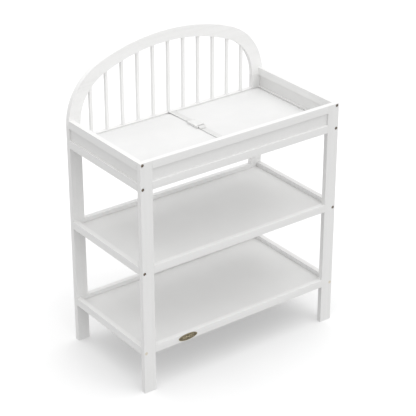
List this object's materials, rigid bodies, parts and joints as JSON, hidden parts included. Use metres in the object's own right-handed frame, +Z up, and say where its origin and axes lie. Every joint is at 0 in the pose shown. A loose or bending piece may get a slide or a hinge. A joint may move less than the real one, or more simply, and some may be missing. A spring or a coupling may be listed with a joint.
{
  "type": "changing table",
  "caption": "White painted wooden changing table with an arched, slatted back, a panelled tray that holds a strapped foam pad, and open shelves below.",
  "frame": {"origin": "on the floor at the middle of the posts' footprint", "axes": "+X to the right along the table, +Y to the arched back, +Z up; the front faces -Y"},
  "size_m": [0.86, 0.4596, 1.1399],
  "materials": {
    "white_lumber": "white satin paint on solid wood",
    "white_board": "white satin paint on thin board",
    "pad_cover": "white wipe-clean cover over foam",
    "webbing": "white woven webbing",
    "buckle_plastic": "white moulded plastic, fine matte",
    "bolt_steel": "dark bronze plated",
    "insert_steel": "zinc plated",
    "cap_plastic": "pale press-in cap",
    "dowel_wood": "bare beech",
    "badge_metal": "antique bronze plate with a bright gilt border"
  },
  "bodies": {
    "stand": {"arch": "white_lumber", "badge": "badge_metal", "bolt_caps": "cap_plastic", "bolts": "bolt_steel", "dowels": "dowel_wood", "lower_rail_back": "white_lumber", "lower_rail_front": "white_lumber", "lower_rail_left": "white_lumber", "lower_rail_right": "white_lumber", "lower_shelf_board": "white_board", "middle_rail_back": "white_lumber", "middle_rail_front": "white_lumber", "middle_rail_left": "white_lumber", "middle_rail_right": "white_lumber", "middle_shelf_board": "white_board", "post_back_left": "white_lumber", "post_back_right": "white_lumber", "post_front_left": "white_lumber", "post_front_right": "white_lumber", "slat_01": "white_lumber", "slat_02": "white_lumber", "slat_03": "white_lumber", "slat_04": "white_lumber", "slat_05": "white_lumber", "slat_06": "white_lumber", "slat_07": "white_lumber", "slat_08": "white_lumber", "slat_09": "white_lumber", "slat_10": "white_lumber", "slat_11": "white_lumber", "threaded_inserts": "insert_steel", "tray_deck": "white_board", "tray_panel_front": "white_board", "tray_panel_left": "white_board", "tray_panel_right": "white_board", "tray_rail_back": "white_lumber", "tray_rail_front_lower": "white_lumber", "tray_rail_front_upper": "white_lumber", "tray_rail_left_lower": "white_lumber", "tray_rail_left_upper": "white_lumber", "tray_rail_right_lower": "white_lumber", "tray_rail_right_upper": "white_lumber"},
    "pad": {"changing_pad": "pad_cover", "strap_front": "webbing", "strap_back": "webbing", "buckle_socket": "buckle_plastic"},
    "clip": {"buckle_clip": "buckle_plastic", "buckle_clip_arms": "buckle_plastic"}
  },
  "joints": [
    {"name": "pad_lift", "type": "slide", "parent": "stand", "child": "pad", "axis": [0, 0, 1], "range_m": [0, 0.15]},
    {"name": "buckle_release", "type": "slide", "parent": "pad", "child": "clip", "axis": [0, -1, 0], "range_m": [0, 0.03], "deforming": ["buckle_clip_arms", "strap_front"]}
  ]
}
